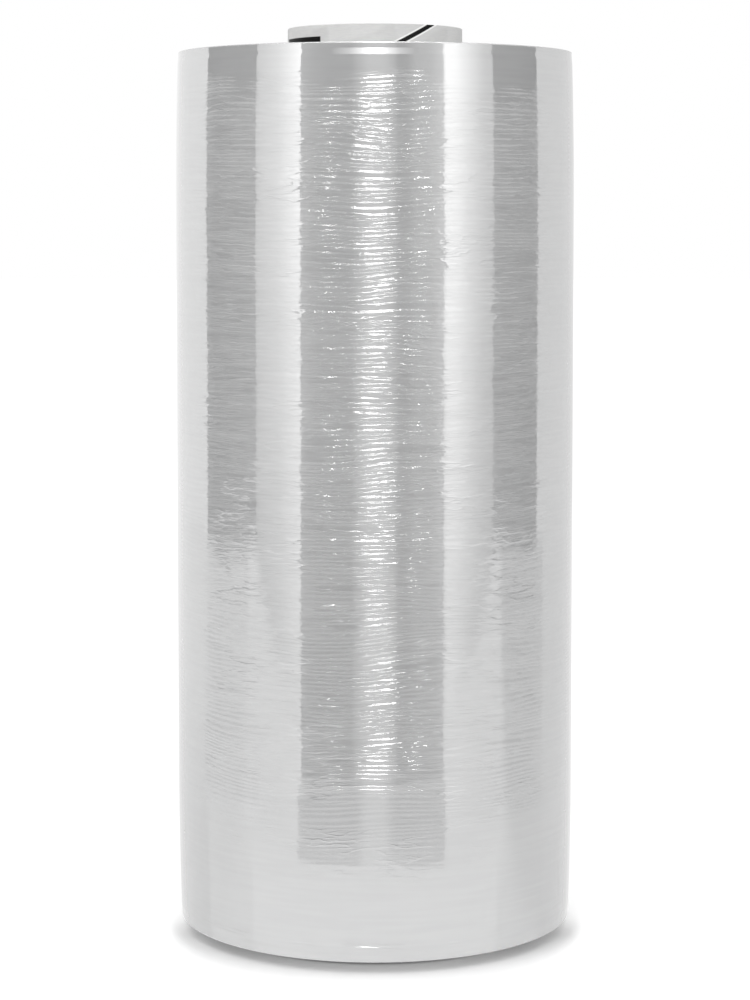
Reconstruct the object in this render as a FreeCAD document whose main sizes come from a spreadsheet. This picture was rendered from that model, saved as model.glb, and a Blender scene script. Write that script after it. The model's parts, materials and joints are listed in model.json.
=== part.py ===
"""A roll of clear stretch wrap standing on end: a wound roll of film on a spiral-wound paperboard core.

The core is longer than the film is wide, so it stands out at both ends and the roll rests on its lower end.
Millimetres, +Z up along the core, origin at the centre of the core's lower end.
"""

import FreeCAD, Part

import math
import os

import Sketcher

# Driving dimensions: name, millimetres (or a count), and what it is
SIZES = [
    ("core_bore", 76.2, "inside diameter of the core, the usual 3 inches"),
    ("core_wall", 7.9, "thickness of the core's board"),
    ("core_edge_round", 0.6, "softened edges at both ends of the core"),
    ("core_rise", 12.7, "how far the core stands out above the film"),
    ("core_foot", 6.35, "how far the core stands out below the film"),
    ("film_width", 457.2, "width of the film, 18 inches"),
    ("film_diameter", 210.0, "outside diameter of the wound film at its middle"),
    ("shoulder_drop", 1.3, "how much smaller the wound radius is at each end"),
    ("shoulder_length", 80.0, "length over which the roll narrows towards each end"),
    ("film_edge_round", 1.0, "rounded rim of the outer turns"),
    ("ring_count", 8, "stepped-in bands of turns on each end face"),
    ("ring_margin", 4.5, "plain band beside the core and beside the rim"),
    ("ring_width", 2.6, "radial width of one stepped-in band"),
    ("ring_depth", 0.35, "how far a band of turns steps in from the end face"),
]

OUTPUT_FOLDER = "parts"
FULL_TURN = 360.0

# The stepped-in bands are of uneven depth, between these shares of ring_depth
SHALLOWEST_BAND = 0.3
DEEPEST_BAND = 1.0
BAND_PHASE = 2.3  # radians of a cosine from one band to the next


def make_sheet(doc):
    """The spreadsheet that holds every driving dimension under its own name."""
    sheet = doc.addObject("Spreadsheet::Sheet", "sizes")
    for row, (alias, value, meaning) in enumerate(SIZES, start=1):
        sheet.set(f"A{row}", alias)
        sheet.set(f"B{row}", str(value))
        sheet.set(f"C{row}", meaning)
        sheet.setAlias(f"B{row}", alias)
    doc.recompute()
    return sheet


def origin_feature(body, role):
    """One of the body's own origin planes or axes, found by its role."""
    return next(item for item in body.Origin.OriginFeatures if item.Role == role)


def new_sketch(body, name, plane):
    sketch = body.newObject("Sketcher::SketchObject", name)
    sketch.AttachmentSupport = [(origin_feature(body, plane), "")]
    sketch.MapMode = "FlatFace"
    return sketch


def bind(sketch, constraint, name, expression):
    """Adds a dimension to the sketch and ties it to the sheet."""
    index = sketch.addConstraint(constraint)
    sketch.renameConstraint(index, name)
    sketch.setExpression(f"Constraints.{name}", expression)


def add_outline(sketch, corners):
    """Draws a closed outline of straight lines through (x, y) corners and returns the line numbers."""
    count = len(corners)
    points = [FreeCAD.Vector(x, y, 0) for x, y in corners]
    lines = [
        sketch.addGeometry(Part.LineSegment(points[i], points[(i + 1) % count]), False)
        for i in range(count)
    ]
    for i in range(count):
        sketch.addConstraint(
            Sketcher.Constraint("Coincident", lines[i], 2, lines[(i + 1) % count], 1)
        )
    return lines


def add_box_section(sketch, name, left, right, low, high, start):
    """A rectangle in a half section, its sides tied to the sheet. start holds a first guess for each side."""
    x0, x1, y0, y1 = start
    lines = add_outline(sketch, [(x0, y0), (x1, y0), (x1, y1), (x0, y1)])
    for line, kind in zip(lines, ["Horizontal", "Vertical", "Horizontal", "Vertical"]):
        sketch.addConstraint(Sketcher.Constraint(kind, line))
    bottom, top = lines[0], lines[2]
    bind(sketch, Sketcher.Constraint("DistanceX", -1, 1, bottom, 1, x0), f"{name}_left", left)
    bind(sketch, Sketcher.Constraint("DistanceX", -1, 1, bottom, 2, x1), f"{name}_right", right)
    bind(sketch, Sketcher.Constraint("DistanceY", -1, 1, bottom, 1, y0), f"{name}_low", low)
    bind(sketch, Sketcher.Constraint("DistanceY", -1, 1, top, 1, y1), f"{name}_high", high)


def revolve_sketch(body, sketch, name, kind="PartDesign::Revolution"):
    """Turns a half section once round the roll's axis, as material or as a cut."""
    turned = body.newObject(kind, name)
    turned.Profile = sketch
    turned.ReferenceAxis = (sketch, ["V_Axis"])
    turned.Angle = FULL_TURN
    sketch.Visibility = False
    return turned


def circular_edges(shape, keep):
    """Names of the circular edges about the roll's axis that keep(radius, height) accepts."""
    names = []
    for number, edge in enumerate(shape.Edges, start=1):
        if not isinstance(edge.Curve, Part.Circle):
            continue
        if keep(edge.Curve.Radius, edge.Curve.Center.z):
            names.append(f"Edge{number}")
    return names


def make_core(doc, sheet):
    """The paperboard tube, with softened edges at both ends."""
    body = doc.addObject("PartDesign::Body", "core")
    body.Label = "core"
    sketch = new_sketch(body, "core_section", "XY_Plane")
    bore = sketch.addGeometry(
        Part.Circle(FreeCAD.Vector(), FreeCAD.Vector(0, 0, 1), sheet.core_bore / 2), False
    )
    outside = sketch.addGeometry(
        Part.Circle(FreeCAD.Vector(), FreeCAD.Vector(0, 0, 1), sheet.core_bore / 2 + sheet.core_wall), False
    )
    for circle in (bore, outside):
        sketch.addConstraint(Sketcher.Constraint("Coincident", circle, 3, -1, 1))
    bind(
        sketch,
        Sketcher.Constraint("Radius", bore, sheet.core_bore / 2),
        "bore_radius",
        "sizes.core_bore / 2",
    )
    bind(
        sketch,
        Sketcher.Constraint("Radius", outside, sheet.core_bore / 2 + sheet.core_wall),
        "outside_radius",
        "sizes.core_bore / 2 + sizes.core_wall",
    )
    tube = body.newObject("PartDesign::Pad", "core_tube")
    tube.Profile = sketch
    tube.setExpression("Length", "sizes.core_foot + sizes.film_width + sizes.core_rise")
    sketch.Visibility = False
    doc.recompute()

    softened = body.newObject("PartDesign::Fillet", "core_ends")
    softened.Base = (tube, circular_edges(tube.Shape, lambda radius, height: True))
    softened.setExpression("Radius", "min(sizes.core_edge_round; sizes.core_wall / 3)")
    doc.recompute()
    return body


def add_film_section(sketch, sheet):
    """The film's half section: bored to the core, with shoulders that curve in towards both ends."""
    inner = sheet.core_bore / 2 + sheet.core_wall
    outer = sheet.film_diameter / 2
    rim = outer - sheet.shoulder_drop
    low = sheet.core_foot
    high = low + sheet.film_width
    shoulder = sheet.shoulder_length
    arc_radius = (shoulder**2 + sheet.shoulder_drop**2) / (2 * sheet.shoulder_drop)
    half_angle = math.asin(shoulder / arc_radius)

    def line(x0, y0, x1, y1):
        return sketch.addGeometry(
            Part.LineSegment(FreeCAD.Vector(x0, y0, 0), FreeCAD.Vector(x1, y1, 0)), False
        )

    def arc(centre_height, first, last):
        circle = Part.Circle(
            FreeCAD.Vector(outer - arc_radius, centre_height, 0), FreeCAD.Vector(0, 0, 1), arc_radius
        )
        return sketch.addGeometry(Part.ArcOfCircle(circle, first, last), False)

    bottom = line(inner, low, rim, low)
    low_shoulder = arc(low + shoulder, -half_angle, 0.0)
    side = line(outer, low + shoulder, outer, high - shoulder)
    high_shoulder = arc(high - shoulder, 0.0, half_angle)
    top = line(rim, high, inner, high)
    bore = line(inner, high, inner, low)

    join = Sketcher.Constraint
    sketch.addConstraint(join("Coincident", bottom, 2, low_shoulder, 1))
    sketch.addConstraint(join("Tangent", low_shoulder, 2, side, 1))
    sketch.addConstraint(join("Tangent", side, 2, high_shoulder, 1))
    sketch.addConstraint(join("Coincident", high_shoulder, 2, top, 1))
    sketch.addConstraint(join("Coincident", top, 2, bore, 1))
    sketch.addConstraint(join("Coincident", bore, 2, bottom, 1))
    for flat in (bottom, top):
        sketch.addConstraint(join("Horizontal", flat))
    for upright in (bore, side):
        sketch.addConstraint(join("Vertical", upright))
    rim_radius = "sizes.film_diameter / 2 - sizes.shoulder_drop"
    bore_radius = "sizes.core_bore / 2 + sizes.core_wall"
    bind(sketch, join("DistanceX", -1, 1, bottom, 1, inner), "bore_radius", bore_radius)
    bind(sketch, join("DistanceX", -1, 1, bottom, 2, rim), "low_rim_radius", rim_radius)
    bind(sketch, join("DistanceX", -1, 1, top, 1, rim), "high_rim_radius", rim_radius)
    bind(sketch, join("DistanceX", -1, 1, side, 1, outer), "film_radius", "sizes.film_diameter / 2")
    bind(sketch, join("DistanceY", -1, 1, bottom, 1, low), "film_low", "sizes.core_foot")
    bind(sketch, join("DistanceY", -1, 1, top, 1, high), "film_high", "sizes.core_foot + sizes.film_width")
    bind(sketch, join("DistanceY", bottom, 2, side, 1, shoulder), "low_shoulder", "sizes.shoulder_length")
    bind(sketch, join("DistanceY", side, 2, top, 1, shoulder), "high_shoulder", "sizes.shoulder_length")


def add_ring_sections(sketch, sheet):
    """Small rectangles across both end faces, one for each band of turns that was wound slightly in.

    The bands share the end face evenly between its two plain margins, and are of uneven depth.
    """
    count = int(sheet.ring_count)
    inner = sheet.core_bore / 2 + sheet.core_wall + sheet.ring_margin
    outer = sheet.film_diameter / 2 - sheet.shoulder_drop - sheet.ring_margin
    low = sheet.core_foot
    high = low + sheet.film_width
    inner_text = "(sizes.core_bore / 2 + sizes.core_wall + sizes.ring_margin)"
    outer_text = "(sizes.film_diameter / 2 - sizes.shoulder_drop - sizes.ring_margin)"
    high_text = "sizes.core_foot + sizes.film_width"
    for number in range(count):
        share = (number + 0.5) / count
        swing = (1 + math.cos(BAND_PHASE * number)) / 2
        uneven = SHALLOWEST_BAND + (DEEPEST_BAND - SHALLOWEST_BAND) * swing
        middle = inner + (outer - inner) * share
        half = sheet.ring_width / 2
        depth = sheet.ring_depth * uneven
        middle_text = f"({inner_text} + ({outer_text} - {inner_text}) * {share:.5f})"
        left = f"{middle_text} - sizes.ring_width / 2"
        right = f"{middle_text} + sizes.ring_width / 2"
        depth_text = f"sizes.ring_depth * {uneven:.4f}"
        sides = (middle - half, middle + half)
        add_box_section(
            sketch, f"low_ring_{number}", left, right,
            "sizes.core_foot - sizes.ring_depth", f"sizes.core_foot + {depth_text}",
            (*sides, low - sheet.ring_depth, low + depth),
        )
        add_box_section(
            sketch, f"high_ring_{number}", left, right,
            f"{high_text} - {depth_text}", f"{high_text} + sizes.ring_depth",
            (*sides, high - depth, high + sheet.ring_depth),
        )


def make_film(doc, sheet):
    """The wound film: every turn in one solid, tight on the core, with stepped bands on its end faces."""
    body = doc.addObject("PartDesign::Body", "film_roll")
    body.Label = "film_roll"
    section = new_sketch(body, "film_section", "XZ_Plane")
    add_film_section(section, sheet)
    wound = revolve_sketch(body, section, "wound_film")
    doc.recompute()

    rim_radius = sheet.film_diameter / 2 - sheet.shoulder_drop
    rounded = body.newObject("PartDesign::Fillet", "film_rims")
    rounded.Base = (
        wound,
        circular_edges(wound.Shape, lambda radius, height: abs(radius - rim_radius) < 1e-3),
    )
    rounded.setExpression("Radius", "sizes.film_edge_round")
    doc.recompute()

    rings = new_sketch(body, "ring_sections", "XZ_Plane")
    add_ring_sections(rings, sheet)
    full = rounded.Shape.Volume
    revolve_sketch(body, rings, "end_rings", "PartDesign::Groove")
    doc.recompute()
    if not body.Shape.Volume < full:
        raise RuntimeError("the bands on the end faces cut nothing")
    return body


def check_and_export(doc, bodies):
    """Stops if anything failed, then writes one STEP file for each body."""
    for item in doc.Objects:
        if {"Invalid", "Error"} & set(item.State):
            raise RuntimeError(f"{item.Name} did not build: {item.State}")
    for body in bodies:
        if body.Shape.isNull() or not body.Shape.isValid():
            raise RuntimeError(f"{body.Label} has no valid shape")
    os.makedirs(OUTPUT_FOLDER, exist_ok=True)
    for body in bodies:
        body.Shape.exportStep(os.path.join(OUTPUT_FOLDER, f"{body.Label}.step"))
        box = body.Shape.optimalBoundingBox()
        print(
            f"{body.Label}: {box.XLength:.2f} x {box.YLength:.2f} x {box.ZLength:.2f} mm, "
            f"z from {box.ZMin:.2f}, {body.Shape.Volume / 1e6:.4f} litres, {len(body.Shape.Solids)} solid"
        )


def main():
    doc = FreeCAD.newDocument("stretch_wrap_roll")
    sheet = make_sheet(doc)
    core = make_core(doc, sheet)
    film = make_film(doc, sheet)
    doc.recompute()
    check_and_export(doc, [core, film])


main()
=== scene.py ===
"""Looks of a roll of clear stretch wrap that stands on end: the wound film, its paperboard core and a studio.

Lengths are metres in the part's own frame: +Z up along the core, origin at the centre of its lower end.
Angles round the roll count from the front, where the camera stands, and grow towards the right.
"""

import json
import math

import bmesh
import bpy
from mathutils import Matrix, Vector, noise


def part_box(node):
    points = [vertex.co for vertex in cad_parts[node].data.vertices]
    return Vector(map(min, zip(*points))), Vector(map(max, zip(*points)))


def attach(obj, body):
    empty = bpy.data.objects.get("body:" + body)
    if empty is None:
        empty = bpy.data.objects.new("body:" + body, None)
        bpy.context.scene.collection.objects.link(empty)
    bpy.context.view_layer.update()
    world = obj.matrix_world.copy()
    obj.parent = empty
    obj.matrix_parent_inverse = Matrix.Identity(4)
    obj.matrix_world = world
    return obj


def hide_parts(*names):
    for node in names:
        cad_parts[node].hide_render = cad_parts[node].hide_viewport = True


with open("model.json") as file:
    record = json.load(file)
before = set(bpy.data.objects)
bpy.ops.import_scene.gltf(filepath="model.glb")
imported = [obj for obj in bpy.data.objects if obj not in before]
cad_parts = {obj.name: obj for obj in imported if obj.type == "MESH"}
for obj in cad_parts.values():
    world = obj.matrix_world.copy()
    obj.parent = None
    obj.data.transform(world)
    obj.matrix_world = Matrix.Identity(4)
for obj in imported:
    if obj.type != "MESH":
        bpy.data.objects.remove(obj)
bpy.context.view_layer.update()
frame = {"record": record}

MM = 0.001
TURN = math.tau
WHITE = (1, 1, 1, 1)

# Sizes taken from the frame
core_low, core_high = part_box("core")
film_low, film_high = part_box("film_roll")
CORE_RADIUS = core_high.x
CORE_TOP = core_high.z
FILM_RADIUS = film_high.x
FILM_LOW = film_low.z
FILM_HIGH = film_high.z
BORE_RADIUS = next(m for m in frame["record"]["mounts"] if m["name"] == "core_bore")["dims"]["r_mm"] * MM

# The film's section
SHOULDER_DROP = 1.3 * MM
SHOULDER_LENGTH = 80 * MM
RIM_ROUND = 0.25 * MM
END_BANDS = 8
END_BAND_MARGIN = 4.5 * MM
END_BAND_WIDTH = 2.6 * MM
END_BAND_DEPTH = 0.35 * MM
END_BAND_SHALLOWEST = 0.3
END_BAND_PHASE = 2.3
FILM_COLUMNS = 96
SIDE_ROWS = 850
END_ROWS = 78
RIM_ROWS = 5

# The core's board
CORE_EDGE_ROUND = 0.6 * MM
CORE_COLUMNS = 96
PLY_COUNT = 14
LINER_THICKNESS = 0.45 * MM
SEAM_RISE = math.radians(22.8)
SEAM_PITCH = TURN * CORE_RADIUS * math.tan(SEAM_RISE)

# The photograph's view
CAMERA_DISTANCE = 1.3775
CAMERA_HEIGHT = 0.3839
CAMERA_PITCH = math.radians(3.667)
CAMERA_LENS = 93.45
CAMERA_SHIFT = -0.1288


class Nodes:
    """Adds nodes to a tree and joins their sockets, in shader trees and geometry trees alike."""

    def __init__(self, tree):
        self.tree = tree

    def add(self, kind, inputs=None, **settings):
        node = self.tree.nodes.new(kind)
        for name, value in settings.items():
            setattr(node, name, value)
        for key, value in (inputs or {}).items():
            self.feed(node.inputs[key], value)
        return node

    def feed(self, socket, value):
        if isinstance(value, bpy.types.NodeSocket):
            self.tree.links.new(value, socket)
        else:
            socket.default_value = value

    def math(self, operation, *values, clamp=False):
        inputs = dict(enumerate(values))
        return self.add("ShaderNodeMath", inputs, operation=operation, use_clamp=clamp).outputs[0]

    def product(self, first, *others):
        for other in others:
            first = self.math("MULTIPLY", first, other)
        return first

    def total(self, first, *others):
        for other in others:
            first = self.math("ADD", first, other)
        return first

    def ramp(self, value, start, end, low=0.0, high=1.0):
        """Runs smoothly from low to high as value goes from start to end."""
        inputs = {"Value": value, "From Min": start, "From Max": end, "To Min": low, "To Max": high}
        return self.add("ShaderNodeMapRange", inputs, interpolation_type="SMOOTHSTEP").outputs[0]

    def mix_colour(self, share, first, second):
        node = self.add("ShaderNodeMix", data_type="RGBA")
        for socket, value in zip((node.inputs[0], node.inputs[6], node.inputs[7]), (share, first, second)):
            self.feed(socket, value)
        return node.outputs[2]

    def noise(self, place, detail=2.0, roughness=0.5):
        inputs = {"Vector": place, "Scale": 1.0, "Detail": detail, "Roughness": roughness}
        return self.add("ShaderNodeTexNoise", inputs, noise_dimensions="3D").outputs["Fac"]

    def point(self, x, y, z):
        return self.add("ShaderNodeCombineXYZ", {0: x, 1: y, 2: z}).outputs[0]


def new_ports(tree, direction, kind, ports):
    """Gives a node group its named sockets; ports maps each name to its value, or None for no value."""
    for name, value in ports.items():
        socket = tree.interface.new_socket(name, in_out=direction, socket_type=kind)
        if value is not None:
            socket.default_value = value


def new_piece(name, mesh, node, material):
    """A finished piece that stands for one node of the frame."""
    piece = bpy.data.objects.new(name, mesh)
    bpy.context.scene.collection.objects.link(piece)
    if material:
        mesh.materials.clear()
        mesh.materials.append(material)
    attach(piece, "root")
    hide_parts(node)
    return piece


# The wound film

def end_step(radius):
    """How far the turns at this radius lie in from the end face."""
    inner = CORE_RADIUS + END_BAND_MARGIN
    outer = FILM_RADIUS - SHOULDER_DROP - END_BAND_MARGIN
    step = 0.0
    for band in range(END_BANDS):
        middle = inner + (outer - inner) * (band + 0.5) / END_BANDS
        swing = (1 + math.cos(END_BAND_PHASE * band)) / 2
        depth = END_BAND_DEPTH * (END_BAND_SHALLOWEST + (1 - END_BAND_SHALLOWEST) * swing)
        if abs(radius - middle) < END_BAND_WIDTH / 2:
            step = depth
    return step


def side_radius(height):
    """The wound radius at a height, with shoulders that curve in towards both ends."""
    arc = (SHOULDER_LENGTH**2 + SHOULDER_DROP**2) / (2 * SHOULDER_DROP)
    into_shoulder = SHOULDER_LENGTH - min(height - FILM_LOW, FILM_HIGH - height)
    if into_shoulder <= 0:
        return FILM_RADIUS
    return FILM_RADIUS - arc + math.sqrt(arc**2 - into_shoulder**2)


def film_section():
    """The film's half section as one closed line: over the top face, down the side and in under the roll."""
    rim = side_radius(FILM_LOW)
    face = [CORE_RADIUS + (rim - RIM_ROUND - CORE_RADIUS) * i / END_ROWS for i in range(END_ROWS + 1)]
    turn = [math.pi / 2 * i / RIM_ROWS for i in range(1, RIM_ROWS)]
    top_face = [(r, FILM_HIGH - end_step(r)) for r in face]
    bottom_face = [(r, FILM_LOW + end_step(r)) for r in face]
    top_rim = [(rim - RIM_ROUND * (1 - math.sin(a)), FILM_HIGH - RIM_ROUND * (1 - math.cos(a))) for a in turn]
    bottom_rim = [(r, FILM_LOW + FILM_HIGH - z) for r, z in top_rim]
    side_low, side_high = FILM_LOW + RIM_ROUND, FILM_HIGH - RIM_ROUND
    heights = [side_high - (side_high - side_low) * i / SIDE_ROWS for i in range(SIDE_ROWS + 1)]
    side = [(side_radius(z), z) for z in heights]
    return top_face + top_rim + side + bottom_rim[::-1] + bottom_face[::-1]


FILM_SIZES = {
    "Film Low": FILM_LOW,
    "Film High": FILM_HIGH,
    "Core Radius": CORE_RADIUS,
    "Tail Angle": math.radians(205),
    "Tail Step": 0.12 * MM,
    "Tail Width": 0.6 * MM,
    "Rib Height": 0.004 * MM,
    "Rib Spacing": 3.0 * MM,
    "Crease Height": 0.02 * MM,
    "Swell Height": 0.10 * MM,
    "Turn Step": 0.10 * MM,
    "Edge Drop": 0.2 * MM,
    "Edge Width": 2.8 * MM,
}


def round_noise(nodes, direction, height, length, spacing, seed, detail=1.0):
    """Noise drawn out round the roll: features about length long round it and spacing high."""
    reach = FILM_RADIUS / length
    stretched = nodes.add("ShaderNodeVectorMath", {0: direction, 1: (reach, reach, 0)}, operation="MULTIPLY")
    lifted = nodes.point(seed, 2.7 * seed, nodes.math("DIVIDE", height, spacing))
    place = nodes.add("ShaderNodeVectorMath", {0: stretched.outputs[0], 1: lifted}, operation="ADD")
    return nodes.noise(place.outputs[0], detail)


def crest(nodes, value, width):
    """One along the line where the noise crosses its middle, falling to none at width from it."""
    off = nodes.math("ABSOLUTE", nodes.math("SUBTRACT", value, 0.5))
    return nodes.math("POWER", nodes.math("SUBTRACT", 1.0, nodes.math("DIVIDE", off, width), clamp=True), 1.5)


def film_tree():
    """Turns the half section once round the axis, then lays ribs, creases and the tail's step on the film."""
    tree = bpy.data.node_groups.new("wound_film", "GeometryNodeTree")
    new_ports(tree, "INPUT", "NodeSocketGeometry", {"Section": None})
    new_ports(tree, "OUTPUT", "NodeSocketGeometry", {"Film": None})
    new_ports(tree, "INPUT", "NodeSocketInt", {"Columns": FILM_COLUMNS})
    new_ports(tree, "INPUT", "NodeSocketFloat", FILM_SIZES)
    new_ports(tree, "INPUT", "NodeSocketMaterial", {"Finish": None})
    nodes = Nodes(tree)
    given = nodes.add("NodeGroupInput").outputs

    # The half section, remembered on every point of it
    section = nodes.add("GeometryNodeCaptureAttribute")
    section.capture_items.new("VECTOR", "section")
    nodes.feed(section.inputs[0], given["Section"])
    nodes.feed(section.inputs[1], nodes.add("GeometryNodeInputPosition").outputs[0])
    outline = nodes.add("GeometryNodeMeshToCurve", {"Mesh": section.outputs[0]})
    place = nodes.add("ShaderNodeSeparateXYZ", {0: section.outputs[1]})
    radius, height = place.outputs["X"], place.outputs["Z"]

    # One turn, whose first step is the narrow one over the film's tail
    rail = nodes.add("GeometryNodeCurvePrimitiveCircle", {"Resolution": given["Columns"]})
    index = nodes.add("GeometryNodeInputIndex").outputs[0]
    gap = nodes.math("DIVIDE", given["Tail Width"], FILM_RADIUS)
    rest = nodes.math("SUBTRACT", TURN, gap)
    spread = nodes.math("DIVIDE", rest, nodes.math("SUBTRACT", given["Columns"], 1))
    is_start = nodes.math("LESS_THAN", index, 0.5)
    after_tail = nodes.product(nodes.math("MAXIMUM", nodes.math("SUBTRACT", index, 1.0), 0.0), spread)
    wound = nodes.math("MAXIMUM", nodes.math("DIVIDE", after_tail, TURN), is_start)
    angle = nodes.math("SUBTRACT", after_tail, nodes.product(is_start, gap))
    turned = nodes.add("GeometryNodeCaptureAttribute")
    turned.capture_items.new("FLOAT", "angle")
    turned.capture_items.new("FLOAT", "wound")
    nodes.feed(turned.inputs[0], rail.outputs[0])
    nodes.feed(turned.inputs[1], angle)
    nodes.feed(turned.inputs[2], wound)
    lathe = nodes.add(
        "GeometryNodeCurveToMesh", {"Curve": turned.outputs[0], "Profile Curve": outline.outputs[0]}
    )

    # The tail wanders a little as it runs up the roll
    wander = nodes.noise(nodes.point(3.1, 0.0, nodes.math("DIVIDE", height, 60 * MM)), 3.0)
    wander = nodes.product(nodes.math("SUBTRACT", wander, 0.5), 0.05)
    turn = nodes.total(turned.outputs[1], given["Tail Angle"], wander)
    direction = nodes.point(nodes.math("SINE", turn), nodes.product(nodes.math("COSINE", turn), -1.0), 0.0)

    # Ribs lean this way and that, so the height that they follow is warped first
    lean = round_noise(nodes, direction, height, 90 * MM, 60 * MM, 1.3)
    leaning = nodes.total(height, nodes.product(nodes.math("SUBTRACT", lean, 0.5), 14 * MM))
    crowding = nodes.product(round_noise(nodes, direction, leaning, 110 * MM, 12 * MM, 4.1), 5.0)
    rib_count = nodes.math("ADD", nodes.math("DIVIDE", leaning, given["Rib Spacing"]), crowding)
    rib_phase = nodes.product(rib_count, TURN)
    ribs = nodes.total(nodes.product(nodes.math("SINE", rib_phase), 0.5), 0.5)
    patches = nodes.ramp(round_noise(nodes, direction, leaning, 20 * MM, 3.5 * MM, 7.7), 0.38, 0.60, 0.1, 1.0)
    thinning = nodes.ramp(height, 0.03, 0.30, 0.45, 1.0)
    ribs = nodes.product(ribs, patches, thinning, given["Rib Height"])
    creases = crest(nodes, round_noise(nodes, direction, leaning, 55 * MM, 11 * MM, 2.2), 0.035)
    creases = nodes.product(creases, given["Crease Height"])
    swell = nodes.math("SUBTRACT", round_noise(nodes, direction, height, 50 * MM, 30 * MM, 5.9, 2.0), 0.5)
    swell = nodes.product(swell, given["Swell Height"])
    unwound = nodes.math("SUBTRACT", 1.0, turned.outputs[2])
    tail = nodes.product(nodes.math("SUBTRACT", unwound, 0.5), given["Tail Step"])

    # All of it fades out at the rims, and only the side has it
    to_low = nodes.math("SUBTRACT", height, given["Film Low"])
    to_high = nodes.math("SUBTRACT", given["Film High"], height)
    to_rim = nodes.math("MINIMUM", to_low, to_high)
    ragged = round_noise(nodes, direction, height, 30 * MM, 30 * MM, 6.6)
    ragged = nodes.product(nodes.math("SUBTRACT", ragged, 0.5), 40 * MM)
    below_top = nodes.math("ADD", to_high, ragged)
    on_side = nodes.product(
        nodes.ramp(to_low, 20 * MM, 60 * MM),
        nodes.ramp(below_top, 14 * MM, 32 * MM),
        nodes.ramp(to_high, 9 * MM, 14 * MM),
    )
    relief = nodes.product(nodes.total(ribs, creases, swell), on_side)
    proud = nodes.total(relief, nodes.product(tail, nodes.ramp(radius, 90 * MM, 100 * MM)))
    edge_end = nodes.product(given["Edge Width"], 2.3)
    edge_step = nodes.product(nodes.ramp(to_rim, given["Edge Width"], edge_end), given["Edge Drop"])
    edge_step = nodes.math("SUBTRACT", edge_step, given["Edge Drop"])
    bulge = nodes.total(radius, proud, nodes.product(edge_step, nodes.ramp(radius, 0.098, 0.103)))

    # Turns lie unevenly on the end faces
    turn_noise = nodes.noise(nodes.point(nodes.math("DIVIDE", radius, 1.6 * MM), 0.0, 9.0), 3.0)
    face = nodes.math("LESS_THAN", to_rim, 0.6 * MM)
    uneven = nodes.product(nodes.math("SUBTRACT", turn_noise, 0.35), given["Turn Step"], face)
    toward_middle = nodes.math("SUBTRACT", nodes.product(nodes.math("LESS_THAN", to_low, to_high), 2.0), 1.0)
    inset = nodes.product(nodes.math("MAXIMUM", uneven, 0.0), toward_middle)

    spot = nodes.add("ShaderNodeVectorMath", {0: direction, "Scale": bulge}, operation="SCALE")
    lift = nodes.point(0.0, 0.0, nodes.math("ADD", height, inset))
    new_place = nodes.add("ShaderNodeVectorMath", {0: spot.outputs[0], 1: lift}, operation="ADD")
    moved = nodes.add(
        "GeometryNodeSetPosition", {"Geometry": lathe.outputs[0], "Position": new_place.outputs[0]}
    )
    smooth = nodes.add("GeometryNodeSetShadeSmooth", {"Geometry": moved.outputs[0]})
    real = nodes.add("GeometryNodeRealizeInstances", {"Geometry": smooth.outputs[0]})
    painted = nodes.add(
        "GeometryNodeSetMaterial", {"Geometry": real.outputs[0], "Material": given["Finish"]}
    )
    nodes.add("NodeGroupOutput", {0: painted.outputs[0]})
    return tree


def grow(tree, base, values):
    """Runs a geometry tree on a base mesh and returns the result as a plain mesh."""
    carrier = bpy.data.objects.new(tree.name, base)
    bpy.context.scene.collection.objects.link(carrier)
    modifier = carrier.modifiers.new(tree.name, "NODES")
    modifier.node_group = tree
    for item in tree.interface.items_tree:
        if item.in_out == "INPUT" and item.name in values:
            modifier[item.identifier] = values[item.name]
    evaluated = carrier.evaluated_get(bpy.context.evaluated_depsgraph_get())
    mesh = bpy.data.meshes.new_from_object(evaluated)
    bpy.data.objects.remove(carrier)
    return mesh


def make_film(material):
    points = film_section()
    base = bpy.data.meshes.new("film_section")
    edges = [(i, (i + 1) % len(points)) for i in range(len(points))]
    base.from_pydata([(r, 0, z) for r, z in points], edges, [])
    mesh = grow(film_tree(), base, {"Columns": FILM_COLUMNS, "Finish": material, **FILM_SIZES})
    mesh.name = "film_wrap"
    return new_piece("film_wrap", mesh, "film_roll", material)


# The paperboard core

def seam_rows(low, high, start):
    """Gives the heights of a wall's helical rows at an angle, with a narrow groove where two plies meet."""
    groove = [(-0.9 * MM, 0.0), (-0.35 * MM, 0.8), (0.0, 1.0), (0.35 * MM, 0.8), (0.9 * MM, 0.0)]
    plain = 7
    turns = range(-2, int((high - low) / SEAM_PITCH) + 3)

    def rows(share):
        found = []
        for turn in turns:
            seam = low + start + SEAM_PITCH * (turn + share)
            found += [(seam + offset, depth) for offset, depth in groove]
            gap = SEAM_PITCH - 2 * groove[-1][0]
            found += [(seam + groove[-1][0] + gap * i / (plain + 1), 0.0) for i in range(1, plain + 1)]
        return [(min(max(z, low), high), depth) for z, depth in found]

    return rows


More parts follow.
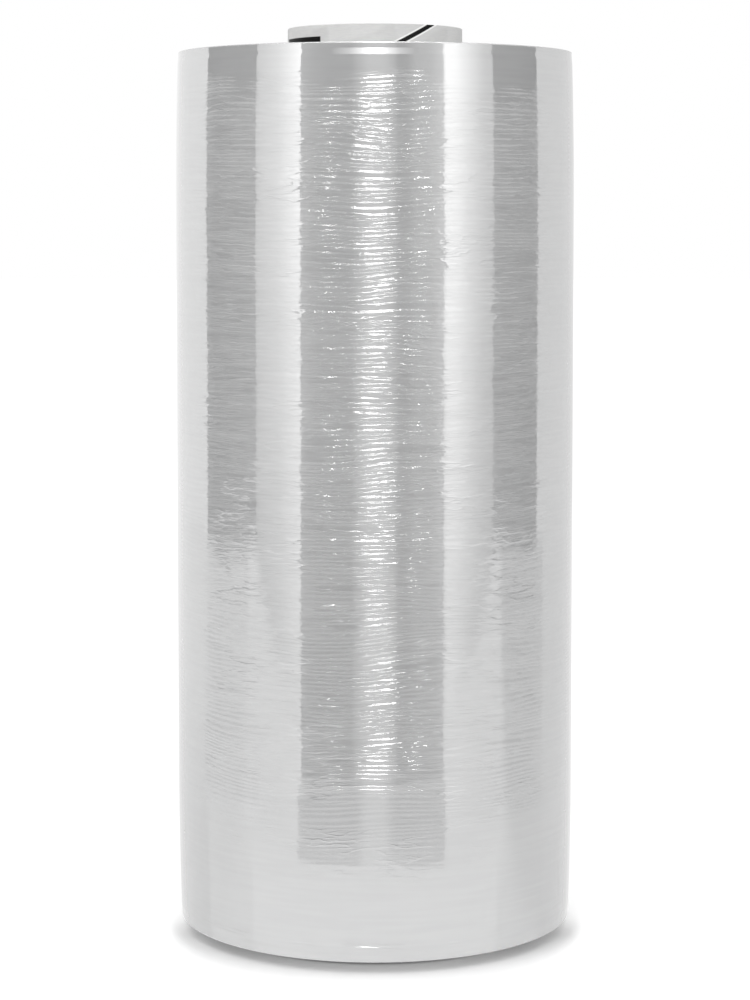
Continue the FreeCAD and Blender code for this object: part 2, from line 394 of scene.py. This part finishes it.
def core_section(share, outside, bore, groove_depth):
    """One angle's closed line: up the bore, out over the plies, down the outside and back under."""
    angle = TURN * share
    wall = CORE_RADIUS - BORE_RADIUS
    line = [(BORE_RADIUS + groove_depth * depth, z) for z, depth in bore(share)]
    quarter = [math.pi / 2 * i / 3 for i in range(1, 3)]
    edge_in = BORE_RADIUS + CORE_EDGE_ROUND
    edge_out = CORE_RADIUS - CORE_EDGE_ROUND
    ply = (edge_out - edge_in) / PLY_COUNT
    top = []
    for a in quarter:
        top.append((edge_in - CORE_EDGE_ROUND * math.cos(a), CORE_EDGE_ROUND * (1 - math.sin(a))))
    for number in range(PLY_COUNT):
        for part, cut in ((0.0, 1.0), (0.18, 0.0), (0.82, 0.0)):
            r = edge_in + ply * (number + part)
            place = Vector((9 * math.cos(angle), 9 * math.sin(angle), 3.7 * number + 1.3 * part))
            rough = 0.05 * MM * (1 + noise.noise(place)) + 0.05 * MM * (number * 5 % 7) / 7
            top.append((r, rough + 0.05 * MM * cut))
    for a in reversed(quarter):
        top.append((edge_out + CORE_EDGE_ROUND * math.cos(a), CORE_EDGE_ROUND * (1 - math.sin(a))))
    line += [(r, CORE_TOP - drop) for r, drop in top]
    line += [(CORE_RADIUS - groove_depth * depth, z) for z, depth in reversed(outside(share))]
    line += [(r, max(drop - 0.05 * MM, 0.0)) for r, drop in reversed(top)]
    return [(r * math.sin(angle), -r * math.cos(angle), z) for r, z in line]


def make_core(material):
    low, high = CORE_EDGE_ROUND, CORE_TOP - CORE_EDGE_ROUND
    outside = seam_rows(low, high, 0.031)
    bore = seam_rows(low, high, 0.087)
    columns = [core_section(i / CORE_COLUMNS, outside, bore, 0.22 * MM) for i in range(CORE_COLUMNS + 1)]
    rows = len(columns[0])
    faces = []
    for c in range(CORE_COLUMNS):
        for r in range(rows):
            up = (r + 1) % rows
            faces.append((c * rows + r, c * rows + up, (c + 1) * rows + up, (c + 1) * rows + r))
    mesh = bpy.data.meshes.new("core_tube")
    mesh.from_pydata([p for column in columns for p in column], [], faces)
    close_mesh(mesh)
    for polygon in mesh.polygons:
        polygon.use_smooth = True
    return new_piece("core_tube", mesh, "core", material)


def close_mesh(mesh):
    """Joins the points that lie together, drops what that leaves flat, and turns the faces outwards."""
    work = bmesh.new()
    work.from_mesh(mesh)
    bmesh.ops.remove_doubles(work, verts=work.verts, dist=1e-6)
    bmesh.ops.dissolve_degenerate(work, edges=work.edges, dist=1e-7)
    bmesh.ops.recalc_face_normals(work, faces=work.faces)
    work.to_mesh(mesh)
    work.free()


# Finishes

def streak_group():
    """Fine lines drawn out round the axis, for the film's wrinkles and the board's fibres."""
    tree = bpy.data.node_groups.new("round_streaks", "ShaderNodeTree")
    usual = {"Length": 30 * MM, "Spacing": 1 * MM, "Seed": 0.0, "Detail": 2.0}
    new_ports(tree, "INPUT", "NodeSocketFloat", usual)
    new_ports(tree, "OUTPUT", "NodeSocketFloat", {"Streaks": None})
    nodes = Nodes(tree)
    given = nodes.add("NodeGroupInput").outputs
    place = nodes.add("ShaderNodeSeparateXYZ", {0: nodes.add("ShaderNodeTexCoord").outputs["Object"]})
    along = [nodes.math("DIVIDE", place.outputs[axis], given["Length"]) for axis in ("X", "Y")]
    across = nodes.math("DIVIDE", place.outputs["Z"], given["Spacing"])
    shifted = nodes.math("ADD", along[0], given["Seed"])
    spot = nodes.point(shifted, along[1], nodes.math("ADD", across, given["Seed"]))
    grain = nodes.noise(spot, given["Detail"])
    nodes.add("NodeGroupOutput", {0: grain})
    return tree


def wrinkle_group():
    """Heights of the film's wrinkles: ribs round the roll, finer folds, small dimples and sharp creases."""
    tree = bpy.data.node_groups.new("film_wrinkles", "ShaderNodeTree")
    new_ports(tree, "INPUT", "NodeSocketFloat", {
        "Rib Length": 110 * MM,
        "Rib Spacing": 2.3 * MM,
        "Fold Length": 9 * MM,
        "Fold Spacing": 1.2 * MM,
        "Lean": 12 * MM,
    })
    new_ports(tree, "OUTPUT", "NodeSocketFloat", dict.fromkeys(("Ribs", "Folds", "Dimples", "Creases")))
    nodes = Nodes(tree)
    given = nodes.add("NodeGroupInput").outputs
    place = nodes.add("ShaderNodeSeparateXYZ", {0: nodes.add("ShaderNodeTexCoord").outputs["Object"]}).outputs

    def drawn_out(length, height, spacing, seed, detail=1.0):
        x, y = (nodes.math("DIVIDE", place[axis], length) for axis in ("X", "Y"))
        z = nodes.math("DIVIDE", height, spacing)
        return nodes.noise(nodes.point(nodes.math("ADD", x, seed), y, nodes.math("ADD", z, seed)), detail)

    lean = nodes.math("SUBTRACT", drawn_out(0.09, place["Z"], 0.06, 1.3), 0.5)
    height = nodes.math("ADD", place["Z"], nodes.product(lean, given["Lean"]))
    crowding = nodes.product(drawn_out(given["Rib Length"], height, 0.012, 4.1), 3.2)
    turns = nodes.math("ADD", nodes.math("DIVIDE", height, given["Rib Spacing"]), crowding)
    wave = nodes.total(nodes.product(nodes.math("SINE", nodes.product(turns, TURN)), 0.5), 0.5)
    patches = nodes.ramp(drawn_out(0.03, height, 0.0025, 7.7), 0.29, 0.47, 0.1, 1.0)
    folds = drawn_out(given["Fold Length"], height, given["Fold Spacing"], 3.2, 2.0)
    folds = nodes.math("ABSOLUTE", nodes.math("SUBTRACT", nodes.product(folds, 2.0), 1.0))
    low_end = nodes.ramp(place["Z"], FILM_LOW + 40 * MM, FILM_LOW + 145 * MM)
    rim_fold = nodes.math("ABSOLUTE", nodes.math("SUBTRACT", place["Z"], FILM_LOW + 8 * MM))
    rim_parts = nodes.ramp(drawn_out(20 * MM, place["Z"], 20 * MM, 2.4), 0.45, 0.55)
    rim_fold = nodes.product(nodes.ramp(rim_fold, 0.0, 3 * MM, 0.5, 0.0), rim_parts)
    low_end = nodes.math("MAXIMUM", low_end, rim_fold)
    ragged = nodes.product(nodes.math("SUBTRACT", drawn_out(0.03, place["Z"], 0.03, 6.6), 0.5), 0.04)
    raised = nodes.math("SUBTRACT", place["Z"], ragged)
    high_end = nodes.ramp(raised, FILM_HIGH - 34 * MM, FILM_HIGH - 12 * MM, 1.0, 0.0)
    below_rim = nodes.ramp(place["Z"], FILM_HIGH - 16 * MM, FILM_HIGH - 10 * MM, 1.0, 0.0)
    ends = nodes.product(low_end, high_end, below_rim)
    steeper = nodes.ramp(place["Z"], 0.08, 0.36, 1.6, 1.0)
    dimpled = nodes.ramp(drawn_out(6 * MM, height, 4 * MM, 9.1), 0.45, 0.6)
    dimples = nodes.product(drawn_out(1.1 * MM, place["Z"], 1.1 * MM, 6.3), dimpled)
    clusters = nodes.ramp(drawn_out(0.03, height, 0.014, 15.5), 0.48, 0.6)
    creases = nodes.product(crest(nodes, drawn_out(0.02, height, 0.0045, 12.2, 2.0), 0.06), clusters)
    above_foot = nodes.ramp(place["Z"], FILM_LOW + 30 * MM, FILM_LOW + 60 * MM)
    nodes.add("NodeGroupOutput", {
        0: nodes.product(wave, patches, ends, steeper),
        1: nodes.product(folds, ends),
        2: nodes.product(dimples, ends),
        3: nodes.product(creases, high_end, above_foot),
    })
    return tree


def use_group(nodes, tree, **values):
    return nodes.add("ShaderNodeGroup", values, node_tree=tree).outputs


def axis_radius(nodes):
    """Distance from the roll's axis, and the height."""
    place = nodes.add("ShaderNodeSeparateXYZ", {0: nodes.add("ShaderNodeTexCoord").outputs["Object"]})
    square = [nodes.math("POWER", place.outputs[axis], 2.0) for axis in ("X", "Y")]
    return nodes.math("SQRT", nodes.math("ADD", *square)), place


def new_material(name):
    material = bpy.data.materials.new(name)
    material.use_nodes = True
    material.node_tree.nodes.clear()
    return material, Nodes(material.node_tree)


def film_material(streaks, wrinkles):
    """Clear film: milky and mirror-like in depth, with a wrinkled outermost turn and matt end faces."""
    material, nodes = new_material("clear_film")
    radius, place = axis_radius(nodes)
    long = use_group(nodes, streaks, Length=0.04, Spacing=0.0022, Seed=8.0, Detail=1.0)["Streaks"]
    haze = use_group(nodes, streaks, Length=0.06, Spacing=0.03, Seed=1.0, Detail=2.0)["Streaks"]
    turns = nodes.noise(nodes.point(nodes.math("DIVIDE", radius, 0.45 * MM), 0.0, 0.0), 2.0)
    wrinkled = use_group(nodes, wrinkles)
    deep = nodes.total(
        nodes.product(long, 0.2),
        nodes.product(wrinkled["Folds"], 0.12),
        nodes.product(wrinkled["Dimples"], 0.3),
        wrinkled["Creases"],
        nodes.product(turns, 0.3),
    )
    deep_bump = nodes.add("ShaderNodeBump", {"Strength": 1.0, "Distance": 0.05 * MM, "Height": deep})
    facing = nodes.add("ShaderNodeLayerWeight", {"Blend": 0.5}).outputs["Facing"]
    outer = nodes.total(
        nodes.product(wrinkled["Ribs"], nodes.ramp(facing, 0.15, 0.4, 1.0, 0.7)),
        nodes.product(wrinkled["Folds"], nodes.ramp(facing, 0.15, 0.4, 0.4, 0.9)),
        nodes.product(wrinkled["Dimples"], 0.26),
    )
    relief = nodes.ramp(facing, 0.45, 0.6, 0.40 * MM, 0.06 * MM)
    outer_bump = nodes.add("ShaderNodeBump", {"Strength": 1.0, "Distance": relief, "Height": outer})
    tint = nodes.total(nodes.product(haze, 0.5), nodes.product(long, 0.5))
    colour = nodes.mix_colour(nodes.ramp(tint, 0.35, 0.65), (0.48, 0.482, 0.485, 1), (0.505, 0.507, 0.51, 1))
    middle = (FILM_LOW + FILM_HIGH) / 2
    from_middle = nodes.math("ABSOLUTE", nodes.math("SUBTRACT", place.outputs["Z"], middle))
    slit = nodes.ramp(from_middle, FILM_HIGH - middle - 0.8 * MM, FILM_HIGH - middle - 0.3 * MM)
    end_face = nodes.ramp(radius, FILM_RADIUS - 2.4 * MM, FILM_RADIUS - 1.8 * MM, 1.0, 0.0)
    matt = nodes.product(nodes.math("MAXIMUM", slit, end_face), 0.5)
    rough = nodes.math("MAXIMUM", nodes.ramp(haze, 0.3, 0.7, 0.035, 0.06), matt)
    shader = nodes.add("ShaderNodeBsdfPrincipled", {
        "Base Color": colour,
        "Roughness": rough,
        "IOR": 2.8,
        "Normal": deep_bump.outputs[0],
        "Coat Weight": nodes.math("SUBTRACT", 1.0, end_face),
        "Coat Roughness": 0.025,
        "Coat IOR": 1.7,
        "Coat Normal": outer_bump.outputs[0],
    })
    nodes.add("ShaderNodeOutputMaterial", {"Surface": shader.outputs[0]})
    return material


def core_material(streaks):
    """Board: a white liner outside, with a slanting band and a short bar in black, and grey-brown inside."""
    material, nodes = new_material("core_board")
    radius, place = axis_radius(nodes)
    fibre = use_group(nodes, streaks, Length=0.004, Spacing=0.0006, Seed=5.0, Detail=4.0)["Streaks"]
    patch = use_group(nodes, streaks, Length=0.03, Spacing=0.008, Seed=2.0, Detail=2.0)["Streaks"]
    # Angle from the front, growing to the right
    front = nodes.product(place.outputs["Y"], -1.0)
    angle = nodes.math("ARCTAN2", place.outputs["X"], front)
    outside = nodes.ramp(radius, CORE_RADIUS - LINER_THICKNESS, CORE_RADIUS - LINER_THICKNESS + 0.1 * MM)
    above = nodes.math("SUBTRACT", place.outputs["Z"], FILM_HIGH)
    slope = CORE_RADIUS * math.tan(math.radians(27))
    band_start = math.radians(8.0)
    from_band = nodes.math("SUBTRACT", above, nodes.product(nodes.math("SUBTRACT", angle, band_start), slope))
    off_band = nodes.math("ABSOLUTE", from_band)
    black = nodes.ramp(off_band, 1.15 * MM, 1.3 * MM, 1.0, 0.0)
    edge = nodes.ramp(off_band, 2.1 * MM, 2.3 * MM, 1.0, 0.0)
    bar_height = nodes.math("ABSOLUTE", nodes.math("SUBTRACT", above, 5.3 * MM))
    bar_angle = nodes.math("ABSOLUTE", nodes.math("ADD", angle, math.radians(58)))
    bar = nodes.product(
        nodes.ramp(bar_height, 1.35 * MM, 1.5 * MM, 1.0, 0.0),
        nodes.ramp(bar_angle, math.radians(20), math.radians(21), 1.0, 0.0),
    )
    liner = nodes.mix_colour(nodes.ramp(fibre, 0.3, 0.7), (0.62, 0.62, 0.62, 1), (0.66, 0.66, 0.65, 1))
    liner = nodes.mix_colour(edge, liner, (0.86, 0.86, 0.85, 1))
    liner = nodes.mix_colour(nodes.math("MAXIMUM", black, bar), liner, (0.004, 0.004, 0.004, 1))
    board = nodes.mix_colour(nodes.ramp(fibre, 0.3, 0.7), (0.27, 0.22, 0.17, 1), (0.40, 0.34, 0.27, 1))
    board = nodes.mix_colour(nodes.ramp(patch, 0.4, 0.7, 0.0, 0.5), board, (0.33, 0.30, 0.26, 1))
    colour = nodes.mix_colour(outside, board, liner)
    rough = nodes.ramp(outside, 0.0, 1.0, 0.85, 0.5)
    bump = nodes.add("ShaderNodeBump", {"Strength": 0.6, "Distance": 0.05 * MM, "Height": fibre})
    shader = nodes.add(
        "ShaderNodeBsdfPrincipled",
        {"Base Color": colour, "Roughness": rough, "Specular IOR Level": 0.1, "Normal": bump.outputs[0]},
    )
    nodes.add("ShaderNodeOutputMaterial", {"Surface": shader.outputs[0]})
    return material


# The studio

TABLE_SIDE = 1.66
TABLE_FRONT = -0.58
GREY_NEAR = 0.30
GREY_FAR = 0.54
WEDGE_START = 0.054
WEDGE_SPREAD_LEFT = 0.98
WEDGE_SPREAD_RIGHT = 0.87
WALL_RADIUS = 1.9
CARD_FADE_LOW = -0.15
CARD_FADE_HIGH = 0.45


def set_stops(ramp, stops, peak):
    """Gives a colour ramp its stops, as grey levels that are shares of the peak."""
    while len(ramp.elements) < len(stops):
        ramp.elements.new(0.5)
    for element, (spot, level) in zip(ramp.elements, stops):
        element.position = spot
        element.color = (level / peak, level / peak, level / peak, 1)


def floor_material():
    """White table with the roll's shadow, cast by the lamps and also painted as a glow that fades in away
    from the roll; in reflections it has edges, a greyer wedge in front and a painted shadow at the roll's
    foot.
    """
    material, nodes = new_material("white_table")
    rays = nodes.add("ShaderNodeLightPath").outputs
    place = nodes.add("ShaderNodeSeparateXYZ", {0: nodes.add("ShaderNodeTexCoord").outputs["Object"]}).outputs
    matt = nodes.add("ShaderNodeBsdfDiffuse", {"Color": (0.9, 0.9, 0.9, 1)})
    away = nodes.math("ABSOLUTE", place["X"])
    squares = nodes.total(nodes.math("POWER", away, 2.0), nodes.math("POWER", place["Y"], 2.0))
    distance = nodes.math("SQRT", squares)
    spread = nodes.ramp(place["X"], -0.01, 0.01, -WEDGE_SPREAD_LEFT, -WEDGE_SPREAD_RIGHT)
    wedge_side = nodes.math("SUBTRACT", nodes.product(place["Y"], spread), WEDGE_START)
    wedge = nodes.math("LESS_THAN", away, wedge_side)
    past_table = nodes.product(wedge, nodes.math("GREATER_THAN", distance, GREY_FAR))
    on_table = nodes.product(
        nodes.math("LESS_THAN", away, TABLE_SIDE),
        nodes.math("GREATER_THAN", place["Y"], TABLE_FRONT),
        nodes.math("SUBTRACT", 1.0, past_table),
    )
    lifted = nodes.add("ShaderNodeBsdfDiffuse", {"Color": (0.8, 0.8, 0.8, 1)})
    # Painted shadow: the camera sees the lit table plus a glow. The glow is weakest at and under the roll's
    # rim and grows to full within a reach that is longest in front, so shade is painted round the roll on top
    # of its cast shadow.
    in_front = nodes.math("MAXIMUM", nodes.math("DIVIDE", nodes.product(place["Y"], -1.0), distance), 0.0)
    behind = nodes.ramp(nodes.math("DIVIDE", place["Y"], distance), -0.35, 0.1, 0.0, 0.35)
    painted_shadow_level = nodes.total(nodes.product(in_front, in_front, 0.23), behind, 0.06)
    # Painted shadow, darker still under the rim.
    painted_shadow_under_rim = nodes.ramp(distance, FILM_RADIUS - 22 * MM, FILM_RADIUS - 17 * MM, 0.3, 1.0)
    painted_shadow_level = nodes.product(painted_shadow_level, painted_shadow_under_rim)
    reach = nodes.total(nodes.product(in_front, in_front, 32 * MM), FILM_RADIUS + 8 * MM)
    painted_shadow_glow = nodes.ramp(distance, FILM_RADIUS, reach, painted_shadow_level, 0.45)
    glow = nodes.add("ShaderNodeEmission", {"Strength": painted_shadow_glow})
    seen = nodes.add("ShaderNodeAddShader", {0: lifted.outputs[0], 1: glow.outputs[0]})
    # Painted shadow in reflections: the mirrored table is darkened at and under the roll's rim. The mirrored
    # table is also brighter close to the roll and greyer in the wedge.
    painted_rim_shadow_reflected = nodes.ramp(distance, FILM_RADIUS - 8 * MM, FILM_RADIUS + 6 * MM, 0.05, 1.0)
    is_grey = nodes.product(wedge, nodes.math("GREATER_THAN", distance, GREY_NEAR))
    near = nodes.ramp(distance, 0.15, 0.5, 1.25, 1.05)
    pale_middle = nodes.ramp(nodes.math("DIVIDE", away, distance), 0.06, 0.17, 0.3, 1.0)
    grey = nodes.product(is_grey, nodes.ramp(distance, GREY_NEAR, GREY_FAR, 0.36, 0.42), pale_middle)
    level = nodes.product(near, painted_rim_shadow_reflected, nodes.math("SUBTRACT", 1.0, grey))
    mirrored = nodes.add("ShaderNodeEmission", {"Strength": level})
    clear = nodes.add("ShaderNodeBsdfTransparent")
    reflected = nodes.add("ShaderNodeMixShader", {0: on_table, 1: clear.outputs[0], 2: mirrored.outputs[0]})
    plain = nodes.add(
        "ShaderNodeMixShader", {0: rays["Is Camera Ray"], 1: matt.outputs[0], 2: seen.outputs[0]}
    )
    shown = nodes.math("MAXIMUM", rays["Is Glossy Ray"], rays["Is Transmission Ray"])
    final = nodes.add("ShaderNodeMixShader", {0: shown, 1: plain.outputs[0], 2: reflected.outputs[0]})
    nodes.add("ShaderNodeOutputMaterial", {"Surface": final.outputs[0]})
    return material


def make_floor():
    half = 12.0
    mesh = bpy.data.meshes.new("studio_floor")
    corners = [(-half, -half, 0), (half, -half, 0), (half, half, 0), (-half, half, 0)]
    mesh.from_pydata(corners, [], [range(4)])
    mesh.materials.append(floor_material())
    floor = bpy.data.objects.new("studio_floor", mesh)
    bpy.context.scene.collection.objects.link(floor)


def card_material(name, stops, low_share):
    """Glow of a card: stops run across it from left to right, and it keeps only low_share low down."""
    material, nodes = new_material(name)
    uv = nodes.add("ShaderNodeSeparateXYZ", {0: nodes.add("ShaderNodeTexCoord").outputs["UV"]}).outputs
    ramp = nodes.add("ShaderNodeValToRGB", {0: uv["X"]})
    peak = max(level for _, level in stops)
    set_stops(ramp.color_ramp, stops, peak)
    fade = nodes.add(
        "ShaderNodeMapRange",
        {"Value": uv["Y"], "From Min": CARD_FADE_LOW, "From Max": CARD_FADE_HIGH, "To Min": low_share},
    )
    strength = nodes.product(fade.outputs[0], peak)
    glow = nodes.add("ShaderNodeEmission", {"Color": ramp.outputs[0], "Strength": strength})
    nodes.add("ShaderNodeOutputMaterial", {"Surface": glow.outputs[0]})
    return material


def make_card(name, start, end, low, high, stops, low_share=1.0, radius=WALL_RADIUS):
    """An upright curved card that the roll's gloss mirrors; start and end are degrees from the front."""
    steps = 12
    points, faces, spots = [], [], []
    for i in range(steps + 1):
        a = math.radians(start + (end - start) * i / steps)
        for z in (low, high):
            points.append((radius * math.sin(a), -radius * math.cos(a), z))
            spots.append((i / steps, z))
    for i in range(steps):
        faces.append((2 * i, 2 * i + 2, 2 * i + 3, 2 * i + 1))
    mesh = bpy.data.meshes.new(name)
    mesh.from_pydata(points, [], faces)
    layer = mesh.uv_layers.new(name="UVMap")
    for loop in mesh.loops:
        layer.data[loop.index].uv = spots[loop.vertex_index]
    mesh.materials.append(card_material(name, stops, low_share))
    hang_card(name, mesh)


def make_mat(name, corners, side, near, far, border=0.0):
    """A grey mat on the table, left (-1) or right (1) of the roll, with its level near the roll and far out.

    Its first edge fades into the table over the border's width.
    """
    mesh = bpy.data.meshes.new(name)
    mesh.from_pydata([(side * x, y, 0.5 * MM) for x, y in corners], [], [range(len(corners))])
    material, nodes = new_material(name)
    place = nodes.add("ShaderNodeSeparateXYZ", {0: nodes.add("ShaderNodeTexCoord").outputs["Object"]}).outputs
    away = nodes.math("ABSOLUTE", place["X"])
    strength = nodes.ramp(away, 0.15, 0.9, near, far)
    if border:
        start, end = Vector(corners[0]), Vector(corners[1])
        across = (end - start).normalized()
        inward = nodes.total(
            nodes.product(nodes.math("SUBTRACT", away, start.x), -across.y),
            nodes.product(nodes.math("SUBTRACT", place["Y"], start.y), across.x),
        )
        share = nodes.ramp(inward, 0.0, border)
        kept = nodes.product(nodes.math("SUBTRACT", 1.0, share), 1.12)
        strength = nodes.total(nodes.product(strength, share), kept)
    glow = nodes.add("ShaderNodeEmission", {"Strength": strength})
    nodes.add("ShaderNodeOutputMaterial", {"Surface": glow.outputs[0]})
    mesh.materials.append(material)
    hang_card(name, mesh)


def make_overhead(name, height, level):
    """A dim round card high over the roll, mirrored in the rounded rim."""
    corners = 24
    angles = [TURN * i / corners for i in range(corners)]
    ring = [(WALL_RADIUS * math.sin(a), WALL_RADIUS * math.cos(a), height) for a in angles]
    mesh = bpy.data.meshes.new(name)
    mesh.from_pydata(ring, [], [range(corners)])
    material, nodes = new_material(name)
    glow = nodes.add("ShaderNodeEmission", {"Strength": level})
    nodes.add("ShaderNodeOutputMaterial", {"Surface": glow.outputs[0]})
    mesh.materials.append(material)
    hang_card(name, mesh)


def hang_card(name, mesh):
    """Puts a card in the studio where only gloss shows it."""
    card = bpy.data.objects.new(name, mesh)
    bpy.context.scene.collection.objects.link(card)
    card.visible_camera = False
    card.visible_diffuse = False
    card.visible_shadow = False


def make_cards():
    """Bright and dark cards round the roll, whose mirror image gives the film its bands of light."""
    low, middle, top, high = -1.0, 0.75, 1.05, 2.2
    side_dark = [(0.0, 0.08), (1.0, 0.08)]
    ceiling = [(0.0, 1.7), (1.0, 1.7)]
    low_ceiling = [(0.0, 1.3), (1.0, 1.3)]
    left_glow = [(0.0, 0.3), (0.8, 0.95), (1.0, 0.95)]
    right_glow = [(0.0, 0.95), (1.0, 0.4)]
    make_card("front_panel", -12, 12, low, middle, [(0.0, 0.2), (0.35, 0.65), (0.7, 0.65), (1.0, 0.25)])
    rim_lamp = [(0.0, 0.2), (0.2, 0.9), (0.36, 2.2), (0.5, 6.5), (0.64, 2.2), (0.8, 0.9), (1.0, 0.2)]
    make_card("rim_lamp", -24, 24, middle, 1.0, rim_lamp, radius=1.85)
    make_card("front_panel_left", -12, -8, middle, high, left_glow)
    make_card("front_panel_right", 8, 12, middle, high, right_glow)
    make_card("front_lamp", -8, 8, 1.0, high, [(0.0, 18.0), (1.0, 18.0)])
    left_front = [(0.0, 0.4), (0.3, 0.18), (0.6, 0.1), (1.0, 0.1)]
    right_front = [(0.0, 0.06), (0.2, 0.08), (0.4, 0.4), (0.7, 0.5), (1.0, 0.9)]
    make_card("dark_front_left", -41.5, -12, low, top, left_front, 0.3)
    make_card("dark_front_right", 12, 38.3, low, top, right_front, 0.4)
    make_card("ceiling_front_left", -41.5, -12, top, high, low_ceiling)
    make_card("ceiling_front_right", 12, 38.3, top, high, low_ceiling)
    left_stops = [(0.0, 0.85), (0.5, 1.35), (0.8, 1.9), (1.0, 2.3)]
    right_stops = [(0.0, 1.8), (0.05, 2.4), (0.25, 2.2), (0.47, 1.65), (0.8, 0.95), (1.0, 0.8)]
    make_card("softbox_left", -69.5, -41.5, low, high, left_stops, 0.5)
    make_card("softbox_right", 38.3, 69, low, high, right_stops, 0.5)
    make_card("dark_side_left", -109.5, -69.5, low, top, side_dark, 0.05)
    make_card("dark_side_right", 69, 104, low, top, side_dark, 0.05)
    make_card("ceiling_side_left", -109.5, -69.5, top, high, ceiling)
    make_card("ceiling_side_right", 69, 104, top, high, ceiling)
    make_card("fill_left", -180, -109.5, low, high, [(0.0, 0.9), (1.0, 1.14)])
    make_card("fill_right", 104, 180, low, high, [(0.0, 0.96), (1.0, 0.76)])
    spark = [(0.0, 48.0), (1.0, 48.0)]
    for number, start in enumerate((-29.0, -27.2, -25.6, 25.0, 26.6, 28.4)):
        make_card(f"spark_{number + 1}", start, start + 0.4, 1.1, 2.2, spark, radius=1.8)
    side_mat = [(0.063, -0.084), (TABLE_SIDE, -0.51), (TABLE_SIDE, 0.6), (0.087, -0.059)]
    rear_mat = [(0.087, -0.059), (TABLE_SIDE, 0.6), (TABLE_SIDE, 1.9), (0.0, 1.9), (0.0, 0.12)]
    make_overhead("overhead_card", 2.25, 0.3)
    make_mat("mat_left", side_mat, -1, 1.02, 0.9, 0.08)
    make_mat("mat_right", side_mat, 1, 0.9, 0.64, 0.08)
    make_mat("rear_mat_left", rear_mat, -1, 0.89, 0.98)
    make_mat("rear_mat_right", rear_mat, 1, 0.89, 0.86)


def make_world():
    """White to the camera and in reflections, and a plain soft light on everything."""
    world = bpy.data.worlds.new("white_studio")
    bpy.context.scene.world = world
    world.use_nodes = True
    world.node_tree.nodes.clear()
    nodes = Nodes(world.node_tree)
    rays = nodes.add("ShaderNodeLightPath").outputs
    seen = nodes.math("MAXIMUM", rays["Is Camera Ray"], rays["Is Glossy Ray"])
    seen = nodes.math("MAXIMUM", seen, rays["Is Transmission Ray"])
    soft = nodes.add("ShaderNodeBackground", {"Color": WHITE, "Strength": 0.77})
    white = nodes.add("ShaderNodeBackground", {"Color": WHITE, "Strength": 1.0})
    mixed = nodes.add("ShaderNodeMixShader", {0: seen, 1: soft.outputs[0], 2: white.outputs[0]})
    nodes.add("ShaderNodeOutputWorld", {"Surface": mixed.outputs[0]})


def make_lamp():
    """One broad soft lamp above and in front."""
    light = bpy.data.lights.new("overhead_softbox", "AREA")
    light.shape = "RECTANGLE"
    light.size = 1.6
    light.size_y = 1.2
    light.energy = 12.0
    lamp = bpy.data.objects.new("overhead_softbox", light)
    lamp.location = (-0.3, -1.3, 1.7)
    lamp.rotation_euler = (Vector((0, 0, 0.25)) - lamp.location).to_track_quat("-Z", "Y").to_euler()
    lamp.visible_camera = False
    lamp.visible_glossy = False
    bpy.context.scene.collection.objects.link(lamp)


def make_camera():
    data = bpy.data.cameras.new("camera")
    data.lens = CAMERA_LENS
    data.shift_y = CAMERA_SHIFT
    camera = bpy.data.objects.new("camera", data)
    camera.location = (0, -CAMERA_DISTANCE, CAMERA_HEIGHT)
    camera.rotation_euler = (math.pi / 2 - CAMERA_PITCH, 0, 0)
    bpy.context.scene.collection.objects.link(camera)
    bpy.context.scene.camera = camera


def main():
    bpy.context.scene.view_settings.view_transform = "Standard"
    streaks = streak_group()
    make_film(film_material(streaks, wrinkle_group()))
    make_core(core_material(streaks))
    make_floor()
    make_cards()
    make_world()
    make_lamp()
    make_camera()


main()
